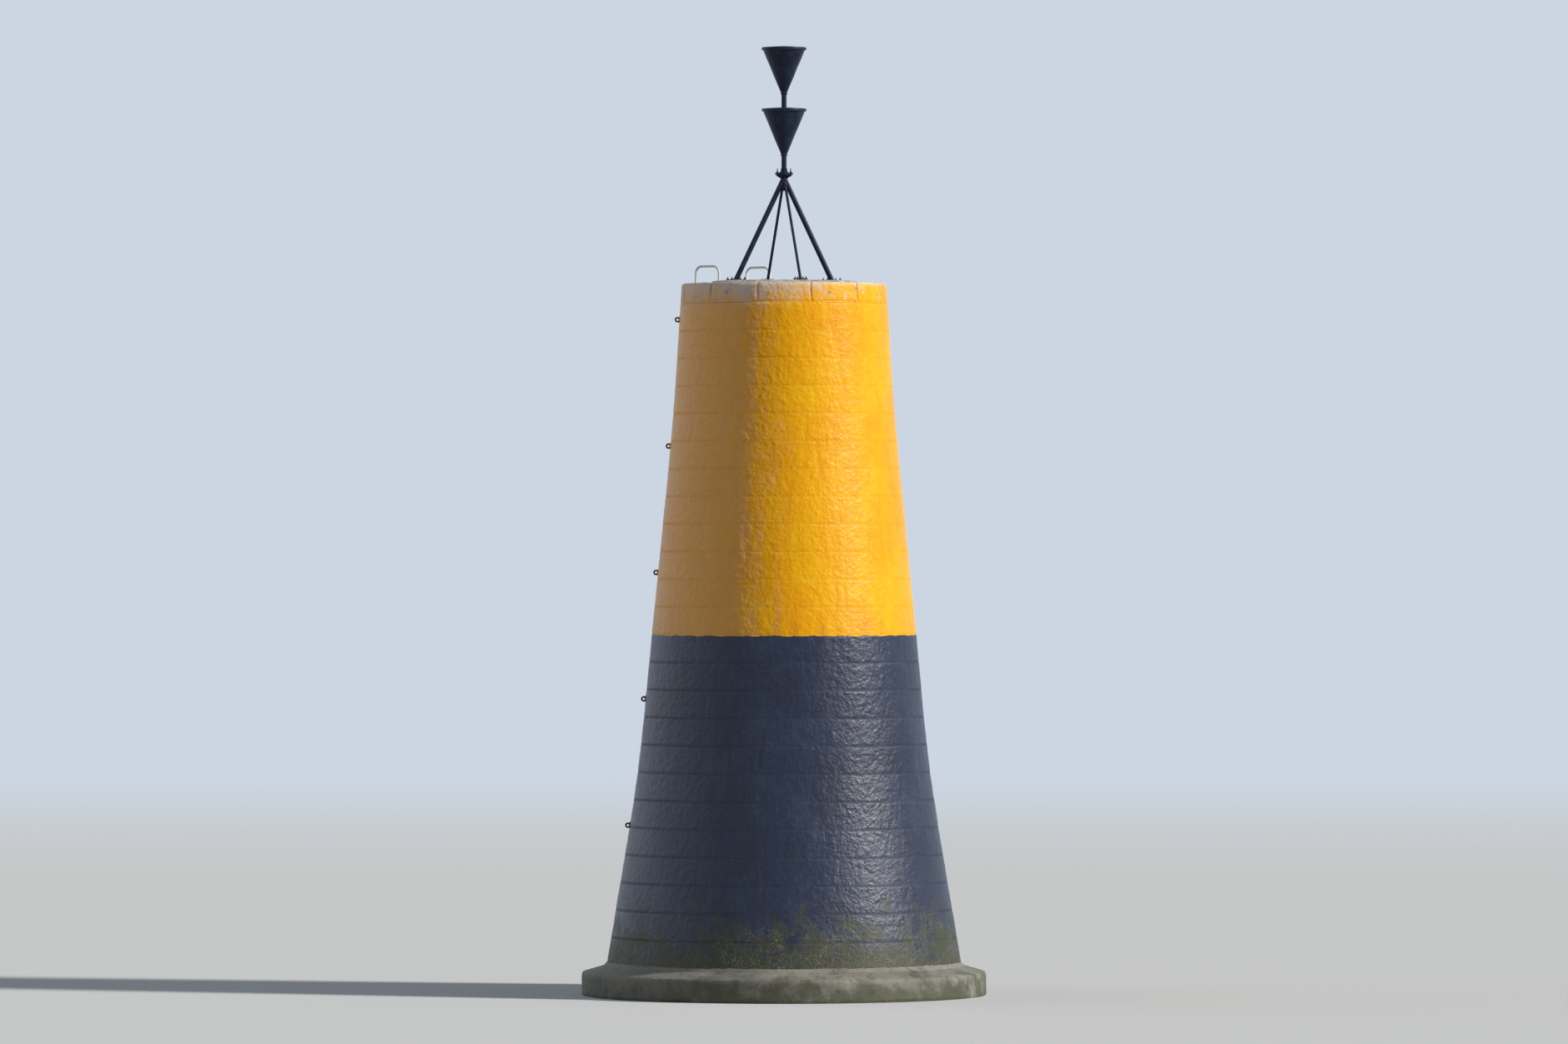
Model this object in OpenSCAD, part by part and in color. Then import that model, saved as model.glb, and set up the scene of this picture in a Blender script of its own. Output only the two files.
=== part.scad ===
// Masonry beacon tower with a topmark of two cones, points down.
// Millimetres, +Z up, origin on the underside of the footing at the tower's axis.

/* [Tower] */
// Height of one course of stone
course_h = 400; // [300:10:500]
// Courses painted black, from the footing up
black_courses = 12; // [8:1:16]
// Courses painted yellow, above the black ones
yellow_courses = 12; // [8:1:16]
// Courses in the flared foot
flare_courses = 7; // [4:1:7]
// Courses in the steep neck under the coping
neck_courses = 4; // [2:1:6]
// Diameter at the foot of the shaft
base_d = 5160; // [4700:10:5600]
// Diameter where the flared foot ends
flare_d = 4230; // [4000:10:4500]
// Diameter where black meets yellow
paint_line_d = 3850; // [3600:10:3950]
// Diameter where the steep neck begins
neck_d = 3210; // [3100:10:3400]
// Diameter at the top edge
top_d = 2984; // [2900:10:3090]
// Height over which one slope of the wall blends into the next
blend_h = 700; // [200:50:800]
// Width of the raked joint between two courses
joint_w = 34; // [16:2:60]
// Depth of the raked joint between two courses
joint_depth = 12; // [6:1:25]

/* [Footing] */
// Height of the concrete footing
footing_h = 450; // [300:10:700]
// Diameter of the concrete footing
footing_d = 5900; // [5700:10:6600]
// Fall of the footing's top from the shaft to its edge
footing_fall = 100; // [40:10:200]

/* [Coping and deck] */
// Height of the coping ring
coping_h = 300; // [200:10:400]
// Width of the coping ring, from its bore to the tower's top edge
coping_w = 362; // [292:2:392]
// Number of coping stones
coping_stones = 12; // [8:1:16]
// Width of the open joint between coping stones
coping_joint = 10; // [4:1:20]
// Chamfer along the coping's top edge
coping_chamfer = 30; // [10:5:60]
// Height of the deck above the coping
deck_rise = 40; // [20:5:80]
// Width of the deck's sloping edge
deck_slope = 90; // [40:5:120]

/* [Topmark frame] */
// Turn of the four-legged frame about the tower's axis
frame_turn = 19; // [0:1:45]
// Distance of the middle of each foot inside the tower's top edge
foot_inset = 757; // [712:5:842]
// Height above the coping at which the leg axes meet
frame_h = 1540; // [1300:10:1900]
// Diameter of the two main legs
leg_d = 76; // [60:2:90]
// Diameter of the two stays
stay_d = 42; // [30:2:60]
// Side of a main leg's square foot
leg_foot = 260; // [200:5:300]
// Side of a stay's square foot
stay_foot = 190; // [150:5:240]
// Thickness of the feet
foot_t = 16; // [10:1:25]
// Gap between a leg and a stay where both meet the hub's sleeve
leg_gap = 3; // [2:1:10]
// Length of the hub's sleeve below the lowest leg
sleeve_tail = 14; // [5:1:40]
// Thickness of the gussets under the hub's flange
gusset_t = 12; // [8:1:20]
// Height of a gusset against the sleeve
gusset_h = 50; // [30:1:52]
// Diameter of the two bolted flanges under the mast
flange_d = 260; // [220:5:320]
// Thickness of each bolted flange
flange_t = 18; // [12:1:25]
// Height of the hub's flange above the meeting point of the legs
flange_lift = 42; // [34:1:60]

/* [Mast and cones] */
// Diameter of the mast
mast_d = 76; // [60:2:90]
// Height of the upper cone's rim above the coping
mark_h = 3440; // [3300:10:4200]
// Distance from one cone's rim to the other's
cone_pitch = 892; // [800:10:1000]
// Diameter of the cones over their lids
cone_d = 650; // [500:10:800]
// Height of a cone from the foot of its collar to its rim
cone_h = 690; // [600:10:760]
// Sheet thickness of cones and lids
sheet_t = 6; // [4:1:10]
// Wall of the collar that holds a cone to the mast
collar_t = 9; // [7:1:14]
// Length of collar below the cone
collar_h = 34; // [20:2:60]
// Depth of the lid's turned-down edge
lid_edge = 38; // [20:2:60]
// Rise of the lid from its edge to the mast
lid_rise = 18; // [8:1:30]
// Diameter of the flat middle of a lid
lid_flat_d = 130; // [120:5:180]

/* [Ladder] */
// Direction of the ladder, anticlockwise from +X
ladder_turn = 135; // [90:5:180]
// Width of a rung, middle to middle of its legs
rung_w = 400; // [300:10:500]
// Distance that a rung stands out from the wall, to its middle
rung_proud = 150; // [110:5:200]
// Diameter of the rung iron
rung_d = 28; // [20:1:36]
// Bend radius of the rungs at the middle of the iron
rung_bend = 50; // [40:5:80]
// Distance between the two grab hoops at the ladder head
hoop_gap = 1040; // [800:10:1080]
// Distance of the hoops' middle inside the tower's top edge, along the ladder's direction
hoop_inset = 432; // [412:5:492]
// Length of a grab hoop, middle to middle of its legs
hoop_l = 480; // [400:10:500]
// Height of a grab hoop above the coping, to its middle
hoop_h = 262; // [200:5:400]
// Diameter of the hoop tube
hoop_d = 36; // [26:1:48]
// Bend radius of the hoops at the middle of the tube
hoop_bend = 110; // [60:5:150]
// Diameter of the round foot on each hoop leg
rosette_d = 84; // [60:2:90]
// Thickness of the hoop feet
rosette_t = 8; // [5:1:12]

/* [Mooring lugs] */
// Number of lugs in the row up the side
lug_count = 5; // [3:1:5]
// Height of the top lug above the footing
lug_top = 9375; // [9000:5:9500]
// Distance from one lug to the next
lug_pitch = 1840; // [1600:10:2000]
// Distance that a lug stands out from the wall
lug_proud = 70; // [60:1:100]
// Height of a lug
lug_h = 84; // [70:2:110]
// Thickness of a lug
lug_t = 18; // [12:1:30]
// Diameter of a lug's hole
lug_hole = 30; // [20:1:36]

/* [Hidden] */
$fn = 64;

// Clearance where a curved face seats on another
seat = 0.3;
// Length that a cutting solid runs past the face it cuts
over = 50;

// Heights above the footing
paint_line = black_courses * course_h;
coping_z = paint_line + yellow_courses * course_h;
tower_h = coping_z + coping_h;

// Height and radius of the wall where its slope changes
WALL = [
    [0, base_d / 2],
    [flare_courses * course_h, flare_d / 2],
    [paint_line, paint_line_d / 2],
    [coping_z - neck_courses * course_h, neck_d / 2],
    [tower_h, top_d / 2]
];

// Radius of the wall at height z above the footing, its slopes blended
function wall_r(z) =
    let (b = min(blend_h, z, tower_h - z))
    (lookup(z - b, WALL) + 2 * lookup(z, WALL) + lookup(z + b, WALL)) / 4;

// Outline of courses first to last, a raked joint between each two
function course_points(first, last, grow) = [
    for (i = [first : last - 1])
        let (low = i * course_h, high = low + course_h)
        for (p = [
            [wall_r(low) - joint_depth, low],
            [wall_r(low + joint_w / 2), low + joint_w / 2],
            [wall_r(high - joint_w / 2), high - joint_w / 2],
            [wall_r(high) - joint_depth, high]
        ]) [p.x + grow, p.y]
];

// Solid courses from the footing's top, grown outwards by grow
module courses(first, last, grow = 0) {
    translate([0, 0, footing_h])
        rotate_extrude($fn = 128)
            polygon(concat(
                [[0, first * course_h]],
                course_points(first, last, grow),
                [[0, last * course_h]]
            ));
}

// Footing

module footing() {
    edge_z = footing_h - footing_fall;
    color("#8d8d86")
        rotate_extrude($fn = 128)
            polygon([
                [0, 0],
                [footing_d / 2, 0],
                [footing_d / 2, edge_z],
                [base_d / 2, footing_h],
                [0, footing_h]
            ]);
}

// Shaft, in four lifts: the flared foot and the wall above it are black

all_courses = black_courses + yellow_courses;

module shaft_foot() {
    color("#23262b") courses(0, flare_courses);
}

module shaft_black() {
    color("#23262b") courses(flare_courses, black_courses);
}

module shaft_yellow() {
    color("#f2a900") courses(black_courses, all_courses - neck_courses);
}

module shaft_neck() {
    color("#f2a900") courses(all_courses - neck_courses, all_courses);
}

// Coping and deck

top_z = footing_h + tower_h;
deck_z = top_z + deck_rise;
coping_bore_r = top_d / 2 - coping_w;

module coping() {
    color("#e8b94a") difference() {
        translate([0, 0, footing_h])
            rotate_extrude($fn = 128)
                polygon([
                    [coping_bore_r, coping_z],
                    [wall_r(coping_z) - joint_depth, coping_z],
                    [wall_r(coping_z + joint_w / 2), coping_z + joint_w / 2],
                    [wall_r(tower_h - coping_chamfer), tower_h - coping_chamfer],
                    [wall_r(tower_h) - coping_chamfer, tower_h],
                    [coping_bore_r, tower_h]
                ]);
        for (i = [0 : coping_stones - 1])
            rotate([0, 0, (i + 0.5) * 360 / coping_stones])
                translate([coping_bore_r - over, -coping_joint / 2, footing_h + coping_z - over])
                    cube([top_d / 2, coping_joint, coping_h + 2 * over]);
    }
}

module deck() {
    deck_r = coping_bore_r - coping_joint;
    color("#d9d6cc")
        rotate_extrude($fn = 128)
            polygon([
                [0, footing_h + coping_z],
                [deck_r, footing_h + coping_z],
                [deck_r, top_z],
                [deck_r - deck_slope, deck_z],
                [0, deck_z]
            ]);
}

// Topmark frame

meet_z = top_z + frame_h;
foot_z = deck_z + foot_t;
foot_r = top_d / 2 - foot_inset;
tilt = atan(foot_r / (meet_z - foot_z));

// Direction of each leg: right, back, left, front
function leg_turn(i) = frame_turn + 90 * i;
function leg_size(i) = i % 2 == 0 ? leg_d : stay_d;
function foot_size(i) = i % 2 == 0 ? leg_foot : stay_foot;

// Places children with their +Z running down leg i from the meeting point
module down_leg(i) {
    translate([0, 0, meet_z]) rotate([0, 180 - tilt, leg_turn(i)]) children();
}

module foot(i) {
    side = foot_size(i);
    cut = side / 8;
    color("#1f2a36")
        translate([0, 0, deck_z]) rotate([0, 0, leg_turn(i)]) translate([foot_r, 0, 0])
            linear_extrude(foot_t)
                polygon([
                    for (q = [0 : 3], p = [[side / 2, cut - side / 2], [side / 2, side / 2 - cut]])
                        [p.x * cos(90 * q) - p.y * sin(90 * q), p.x * sin(90 * q) + p.y * cos(90 * q)]
                ]);
}

// The hub's sleeve is just wide enough to keep legs and stays apart where they meet it
sleeve_r = norm([leg_d / 2, stay_d / 2 + leg_gap]);
sleeve_foot_z = meet_z - sleeve_r / tan(tilt) - leg_d / 2 / sin(tilt) - sleeve_tail;

// Leg cut to the sleeve at its head and level on its foot
module leg(i) {
    color("#1f2a36") difference() {
        down_leg(i) cylinder(d = leg_size(i), h = frame_h / cos(tilt));
        translate([0, 0, sleeve_foot_z]) cylinder(r = sleeve_r + seat, h = frame_h);
        translate([-foot_r * 2, -foot_r * 2, foot_z - frame_h])
            cube([foot_r * 4, foot_r * 4, frame_h]);
    }
}

module foot_right() foot(0);
module foot_back() foot(1);
module foot_left() foot(2);
module foot_front() foot(3);
module leg_right() leg(0);
module stay_back() leg(1);
module leg_left() leg(2);
module stay_front() leg(3);

flange_z = meet_z + flange_lift;

// Flange on a sleeve, with a gusset in each gap between the legs
module hub() {
    color("#1f2a36") {
        translate([0, 0, flange_z]) cylinder(d = flange_d, h = flange_t);
        translate([0, 0, sleeve_foot_z]) cylinder(r = sleeve_r, h = flange_z + flange_t / 2 - sleeve_foot_z);
        for (i = [0 : 3])
            translate([0, 0, flange_z]) rotate([90, 0, leg_turn(i + 0.5)])
                translate([0, 0, -gusset_t / 2]) linear_extrude(gusset_t)
                    polygon([
                        [sleeve_r / 2, flange_t / 2],
                        [sleeve_r / 2, -gusset_h],
                        [sleeve_r + gusset_t, -gusset_h],
                        [flange_d / 2 - gusset_t, -gusset_t],
                        [flange_d / 2 - gusset_t, flange_t / 2]
                    ]);
    }
}

// Mast and cones

mast_foot_z = flange_z + flange_t;
rim_z = top_z + mark_h;
bore_r = mast_d / 2 + seat;

module mast() {
    color("#1f2a36") {
        translate([0, 0, mast_foot_z]) cylinder(d = flange_d, h = flange_t);
        translate([0, 0, mast_foot_z])
            cylinder(d = mast_d, h = rim_z - sheet_t + lid_rise - mast_foot_z);
    }
}

// Sheet cone, point down, its rim's top edge under the lid whose edge is at z
module cone_shell(z) {
    top = z - sheet_t;
    low = z - cone_h;
    rim_r = cone_d / 2 - sheet_t - seat;
    collar_r = bore_r + collar_t;
    slope = (rim_r - collar_r) / (top - low - collar_h);
    color("#1f2a36")
        rotate_extrude()
            polygon([
                [bore_r, low],
                [collar_r, low],
                [collar_r, low + collar_h],
                [rim_r, top],
                [rim_r - sheet_t, top],
                [bore_r, low + collar_h + (sheet_t - collar_t) / slope]
            ]);
}

// Lid with a turned-down edge; hole is the radius left open for the mast
module cone_lid(z, hole) {
    flat_r = lid_flat_d / 2;
    edge_r = cone_d / 2;
    color("#1f2a36")
        rotate_extrude()
            polygon([
                [hole, z - sheet_t + lid_rise],
                [flat_r, z - sheet_t + lid_rise],
                [edge_r - 2 * sheet_t - seat, z - sheet_t],
                [edge_r - sheet_t, z - sheet_t],
                [edge_r - sheet_t, z - lid_edge],
                [edge_r, z - lid_edge],
                [edge_r, z],
                [edge_r - 2 * sheet_t - seat, z],
                [flat_r, z + lid_rise],
                [hole, z + lid_rise]
            ]);
}

module cone_lower() cone_shell(rim_z - cone_pitch);
module lid_lower() cone_lid(rim_z - cone_pitch, bore_r);
module cone_upper() cone_shell(rim_z);
module lid_upper() cone_lid(rim_z, 0);

// Ladder and grab hoops

// Round bar bent into a U that opens towards -X, its bar at x = 0 and w long,
// its legs l long, all at the middle of the iron
module staple(w, l, d, bend) {
    translate([0, bend - w / 2, 0]) rotate([-90, 0, 0]) cylinder(d = d, h = w - 2 * bend);
    for (s = [-1, 1]) {
        translate([-l, s * w / 2, 0]) rotate([0, 90, 0]) cylinder(d = d, h = l - bend);
        translate([-bend, s * (w / 2 - bend), 0])
            rotate([0, 0, s > 0 ? 0 : -90])
                rotate_extrude(angle = 90) translate([bend, 0]) circle(d = d);
    }
}

// One rung in the middle of each course from first to last, ended at the wall
module rungs(first, last) {
    difference() {
        for (i = [first : last - 1])
            let (z = (i + 0.5) * course_h)
            translate([0, 0, footing_h + z]) rotate([0, 0, ladder_turn])
                translate([wall_r(z) + rung_proud, 0, 0])
                    staple(rung_w, rung_proud + over, rung_d, rung_bend);
        courses(first, last, seat);
    }
}

module rungs_black() {
    color("#23262b") rungs(1, black_courses);
}

module rungs_yellow() {
    color("#f2a900") rungs(black_courses, all_courses);
}

// Grab hoop on the right or left of the ladder head: its inner leg stands on
// the deck and its outer leg on the coping
module hoop(side) {
    color("#d7d8d2") translate([0, 0, top_z]) rotate([0, 0, ladder_turn])
        translate([top_d / 2 - hoop_inset, -side * hoop_gap / 2, 0])
            difference() {
                union() {
                    translate([0, 0, hoop_h]) rotate([0, -90, 90])
                        staple(hoop_l, hoop_h + over, hoop_d, hoop_bend);
                    translate([hoop_l / 2, 0, 0]) cylinder(d = rosette_d, h = rosette_t);
                    translate([-hoop_l / 2, 0, deck_rise]) cylinder(d = rosette_d, h = rosette_t);
                }
                translate([0, -rosette_d, -2 * over]) cube([hoop_l, 2 * rosette_d, 2 * over]);
                translate([-hoop_l, -rosette_d, -2 * over])
                    cube([hoop_l + seat, 2 * rosette_d, 2 * over + deck_rise]);
            }
}

module hoop_right() hoop(1);
module hoop_left() hoop(-1);

// Mooring lugs

module mooring_lugs() {
    color("#3a3530") difference() {
        for (i = [0 : lug_count - 1])
            let (z = lug_top - i * lug_pitch)
            translate([-wall_r(z) - lug_proud + lug_h / 2, lug_t / 2, footing_h + z])
                rotate([90, 0, 0]) linear_extrude(lug_t) difference() {
                    union() {
                        circle(d = lug_h);
                        translate([0, -lug_h / 2]) square([lug_proud, lug_h]);
                    }
                    circle(d = lug_hole);
                }
        courses(0, all_courses, seat);
    }
}

footing();
shaft_foot();
shaft_black();
shaft_yellow();
shaft_neck();
coping();
deck();
foot_right();
foot_back();
foot_left();
foot_front();
leg_right();
stay_back();
leg_left();
stay_front();
hub();
mast();
cone_lower();
lid_lower();
cone_upper();
lid_upper();
rungs_black();
rungs_yellow();
hoop_right();
hoop_left();
mooring_lugs();
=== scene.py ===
import math

import bmesh
import bpy
import numpy as np
from mathutils import Matrix, Vector, noise


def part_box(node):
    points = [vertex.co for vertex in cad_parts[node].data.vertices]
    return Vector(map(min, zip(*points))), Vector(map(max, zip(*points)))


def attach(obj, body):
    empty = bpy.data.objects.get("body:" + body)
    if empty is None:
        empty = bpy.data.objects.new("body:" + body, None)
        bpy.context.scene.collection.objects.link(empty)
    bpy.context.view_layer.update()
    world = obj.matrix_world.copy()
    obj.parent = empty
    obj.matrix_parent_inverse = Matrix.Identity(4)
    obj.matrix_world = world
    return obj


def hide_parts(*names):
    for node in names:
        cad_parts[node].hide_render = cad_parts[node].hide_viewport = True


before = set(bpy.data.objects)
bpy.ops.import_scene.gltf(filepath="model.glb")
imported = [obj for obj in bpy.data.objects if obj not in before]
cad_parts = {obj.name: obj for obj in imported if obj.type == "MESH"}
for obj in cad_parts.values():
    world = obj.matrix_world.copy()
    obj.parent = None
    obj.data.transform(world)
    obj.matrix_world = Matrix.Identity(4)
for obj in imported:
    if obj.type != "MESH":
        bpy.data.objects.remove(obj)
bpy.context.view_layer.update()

scene = bpy.context.scene

# The view. The photograph was taken level and from far off with a long lens,
# so the tower's sides run up without converging and no rim shows as an ellipse.

EYE = Vector((0.0, -150.0, 6.88))
FRAME_H = 15.2
PICTURE_W, PICTURE_H = 1880, 1252
SENSOR_W = 36.0
SENSOR_H = SENSOR_W * PICTURE_H / PICTURE_W

lens = bpy.data.cameras.new("camera")
lens.sensor_width = SENSOR_W
lens.lens = SENSOR_H * -EYE.y / FRAME_H
lens.clip_end = 5000
camera = bpy.data.objects.new("camera", lens)
camera.matrix_world = Matrix.Translation(EYE) @ Matrix.Rotation(math.pi / 2, 4, "X")
scene.collection.objects.link(camera)
scene.camera = camera
scene.view_settings.view_transform = "Standard"

# The studio floor is a wide pale sheet that melts into the backdrop, so that
# there is no hard horizon behind the tower.


class Wire:
    """One output of a shader node. Arithmetic on it adds Math nodes to its tree."""

    def __init__(self, socket):
        self.socket = socket
        self.tree = socket.id_data

    def node(self, kind, settings=(), out=0, **inputs):
        """Adds a node: its settings first, then its sockets by name or by _number."""
        made = self.tree.nodes.new("ShaderNode" + kind)
        for key, value in dict(settings).items():
            if key == "stops":
                ramp = made.color_ramp.elements
                while len(ramp) < len(value):
                    ramp.new(1.0)
                for stop, (place, colour) in zip(ramp, value):
                    stop.position = place
                    stop.color = colour
            else:
                setattr(made, key, value)
        for key, value in inputs.items():
            place = int(key[1:]) if key[0] == "_" else key.replace("_", " ")
            if isinstance(value, Wire):
                self.tree.links.new(value.socket, made.inputs[place])
            else:
                made.inputs[place].default_value = value
        return Wire(made.outputs[out])

    def math(self, operation, a, b=0.0):
        """What a Math node makes of one or two values, each a wire or a number."""
        return self.node("Math", {"operation": operation}, _0=a, _1=b)

    def __add__(self, other):
        return self.math("ADD", self, other)

    __radd__ = __add__

    def __sub__(self, other):
        return self.math("SUBTRACT", self, other)

    def __rsub__(self, other):
        return self.math("SUBTRACT", other, self)

    def __mul__(self, other):
        return self.math("MULTIPLY", self, other)

    __rmul__ = __mul__

    def __truediv__(self, other):
        return self.math("DIVIDE", self, other)

    def __rtruediv__(self, other):
        return self.math("DIVIDE", other, self)

    def over(self, low, high):
        """0 where this is below low and 1 where it is above high, smooth between."""
        smooth = {"interpolation_type": "SMOOTHSTEP"}
        return self.node("MapRange", smooth, Value=self, From_Min=low, From_Max=high)

    def noise(self, scale, detail=4.0, rough=0.55, stretch=(1, 1, 1), shift=0.0):
        """Noise from 0 to 1 on this point, a pattern about 1 / scale metres wide."""
        point = self.node("Mapping", Vector=self, Scale=stretch, Location=(shift, shift, shift))
        return self.node("TexNoise", Vector=point, Scale=scale, Detail=detail, Roughness=rough)

    def ramp(self, *stops):
        """A colour that follows this value, from pairs of a value and its colour."""
        return self.node("ValToRGB", {"stops": stops}, Fac=self)

    def between(self, first, second):
        """The first colour where this is 0, turning to the second where it is 1."""
        return self.node("Mix", {"data_type": "RGBA"}, out=2, _0=self, _6=first, _7=second)

    def tint(self, mask, colour):
        """This colour, turning to another where the mask is 1."""
        return mask.between(self, colour)

    def bump(self, height, metres, **below):
        """A normal from a height of 0 to 1 that stands for so many metres, on top of
        another Normal if one is given."""
        return self.node("Bump", Height=height, Distance=metres, Strength=1.0, **below)


def rgb(red, green, blue):
    """A colour as it would be written for a screen, 0 to 255, in linear light."""
    def linear(c):
        c /= 255
        return c / 12.92 if c <= 0.04045 else ((c + 0.055) / 1.055) ** 2.4
    return (linear(red), linear(green), linear(blue), 1.0)


def finish(name, paint):
    """A material whose look paint(point) gives, as values for the shader's sockets.
    The point is the place on the object, in metres."""
    made = bpy.data.materials.new(name)
    made.use_nodes = True
    shader = made.node_tree.nodes["Principled BSDF"]
    coords = made.node_tree.nodes.new("ShaderNodeTexCoord")
    point = Wire(coords.outputs["Object"])
    for socket, value in paint(point).items():
        if isinstance(value, Wire):
            made.node_tree.links.new(value.socket, shader.inputs[socket])
        else:
            shader.inputs[socket].default_value = value
    return made


def into_scene(name, bm, material):
    """The object that a bmesh becomes, in that material."""
    mesh = bpy.data.meshes.new(name)
    bm.to_mesh(mesh)
    bm.free()
    mesh.materials.append(material)
    made = bpy.data.objects.new(name, mesh)
    scene.collection.objects.link(made)
    return made


def parts(point):
    """The point's x, y and z."""
    return [point.node("SeparateXYZ", out=i, Vector=point) for i in range(3)]


def from_axis(point):
    """How far the point is from the tower's axis."""
    x, y, _ = parts(point)
    return point.math("SQRT", x * x + y * y)


def shown(any_wire):
    """1 for what the camera sees, straight on or in gloss, and 0 for what lights."""
    kinds = ("Camera", "Glossy", "Transmission")
    direct, gloss, through = (any_wire.node("LightPath", out=f"Is {kind} Ray") for kind in kinds)
    return direct.math("MAXIMUM", direct, gloss.math("MAXIMUM", gloss, through))


BACKDROP = rgb(204, 214, 227)
FLOOR = rgb(222, 223, 222)
FLOOR_BOUNCE = rgb(150, 152, 154)
NO_LIGHT = rgb(0, 0, 0)
FLOOR_R = 2000
FADE = (45.0, 140.0)


def floor_paint(point):
    """Pale floor near the tower, which turns to the backdrop's own glow far away."""
    seen = shown(point)
    far = from_axis(point).over(*FADE) * seen
    return {
        "Base Color": seen.between(FLOOR_BOUNCE, FLOOR).tint(far, NO_LIGHT),
        "Roughness": 0.9,
        "Specular IOR Level": 0.0,
        "Emission Color": far.between(NO_LIGHT, BACKDROP),
        "Emission Strength": 1.0,
    }


bm = bmesh.new()
bmesh.ops.create_circle(bm, cap_ends=True, segments=96, radius=FLOOR_R)
floor = into_scene("floor", bm, finish("floor", floor_paint))

# The light. A lamp far to the right and a little above gives the photograph's
# light and shade. A broad dim one and the pale room fill the shaded side.

LAMPS = {
    "key": {"turn": 72, "height": 27, "power": 3.75, "spread": 6, "colour": (1.0, 0.965, 0.92)},
    "fill": {"turn": -105, "height": 20, "power": 0.45, "spread": 70, "colour": (0.86, 0.92, 1.0)},
}
ROOM = rgb(196, 206, 220)
ROOM_POWER = 0.33

for name, lamp in LAMPS.items():
    light = bpy.data.lights.new(name, "SUN")
    light.energy = lamp["power"]
    light.angle = math.radians(lamp["spread"])
    light.color = lamp["colour"]
    made = bpy.data.objects.new(name, light)
    made.rotation_euler = (math.radians(90 - lamp["height"]), 0, math.radians(lamp["turn"]))
    scene.collection.objects.link(made)

room = bpy.data.worlds.new("room")
room.use_nodes = True
scene.world = room
background = room.node_tree.nodes["Background"]
seen = shown(Wire(background.outputs[0]))
power = ROOM_POWER + seen * (1 - ROOM_POWER)
room.node_tree.links.new(seen.between(ROOM, BACKDROP).socket, background.inputs["Color"])
room.node_tree.links.new(power.socket, background.inputs["Strength"])

# The footing is a round slab of concrete, cast in place, whose top slopes off
# from the wall. Its arris is worn round, its faces are pitted and weed grows on it.

TAU = 2 * math.pi
FOOTING_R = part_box("footing")[1].x
FOOTING_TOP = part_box("footing")[1].z
FOOTING_EDGE = FOOTING_TOP - 0.1
FOOTING_COLUMNS = 400
SHAFT_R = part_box("shaft_foot")[1].x
CHAMFER = 0.02
WORN = 0.05
HAIR = 0.002
FILLET = 0.06
TUCK = 0.02
GROUND_WEED = rgb(66, 68, 42)
CONCRETE = ((0.3, rgb(104, 101, 92)), (0.55, rgb(138, 135, 124)), (0.75, rgb(164, 160, 148)))
CONCRETE_PITS = rgb(60, 58, 50)


def refined(corners, step):
    """An outline through the corners, with points no further apart than a step."""
    points = []
    for start, end in zip(corners, corners[1:]):
        count = max(1, math.ceil(math.dist(start, end) / step))
        points += [tuple(a + (b - a) * i / count for a, b in zip(start, end)) for i in range(count)]
    return points + [corners[-1]]


def face_out(bm):
    """Turns every face outwards."""
    bmesh.ops.recalc_face_normals(bm, faces=bm.faces)


def turned(outline, columns, step=None):
    """A solid turned about Z from an outline of (radius, height), which a step refines
    for weathering. One sector is spun and then copied round, to save time."""
    if step:
        outline = refined(outline, step)
    sectors = 20 if columns >= 100 else 4
    bm = bmesh.new()
    verts = [bm.verts.new((r, 0, z)) for r, z in outline]
    edges = [bm.edges.new(pair) for pair in zip(verts, verts[1:])]
    spin = {"cent": (0, 0, 0), "axis": (0, 0, 1)}
    bmesh.ops.spin(bm, geom=verts + edges, angle=TAU / sectors, steps=columns // sectors, **spin)
    sector = bm.verts[:] + bm.edges[:] + bm.faces[:]
    rest = TAU * (sectors - 1) / sectors
    bmesh.ops.spin(bm, geom=sector, angle=rest, steps=sectors - 1, use_duplicate=True, **spin)
    bmesh.ops.remove_doubles(bm, verts=bm.verts, dist=1e-5)
    face_out(bm)
    return bm


def weather(bm, depth, size, spare=None):
    """Pits and swells of about that depth and size, but none where spare(place)."""
    bm.normal_update()
    for v in bm.verts:
        if spare is None or not spare(v.co):
            rough = noise.fractal(v.co / size, 0.9, 2.1, 3)
            v.co += v.normal * (depth * (rough * 0.5 - 0.5))


def piece(name, bm, material, slot, *nodes, crease=40):
    """Makes a finished piece of the tower from a bmesh. It rides on the tower's
    one body and stands for the named solids."""
    made = into_scene(name, bm, material)
    made.data.shade_smooth()
    made.data.set_sharp_from_angle(angle=math.radians(crease))
    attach(made, "root")
    if nodes:
        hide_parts(*nodes)


def concrete_paint(point):
    """Clouded grey concrete with pits, and weed that thickens downwards."""
    cloud = point.noise(0.9, 5)
    grit = point.noise(60, 3, 0.7)
    pits = point.noise(14, 2, 0.5)
    down = FOOTING_TOP - parts(point)[2]
    weed = (point.noise(2.3, 6, 0.65) + down * 0.5).over(0.52, 0.74)
    base = (cloud * 0.75 + grit * 0.25).ramp(*CONCRETE)
    base = base.tint(weed * 0.85, GROUND_WEED)
    return {
        "Base Color": base.tint(pits.over(0.62, 0.7) * 0.5, CONCRETE_PITS),
        "Roughness": 0.72 + grit * 0.2 - weed * 0.25,
        "Normal": point.bump(grit * 0.5 + pits * 0.5, metres=0.008),
    }


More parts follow.
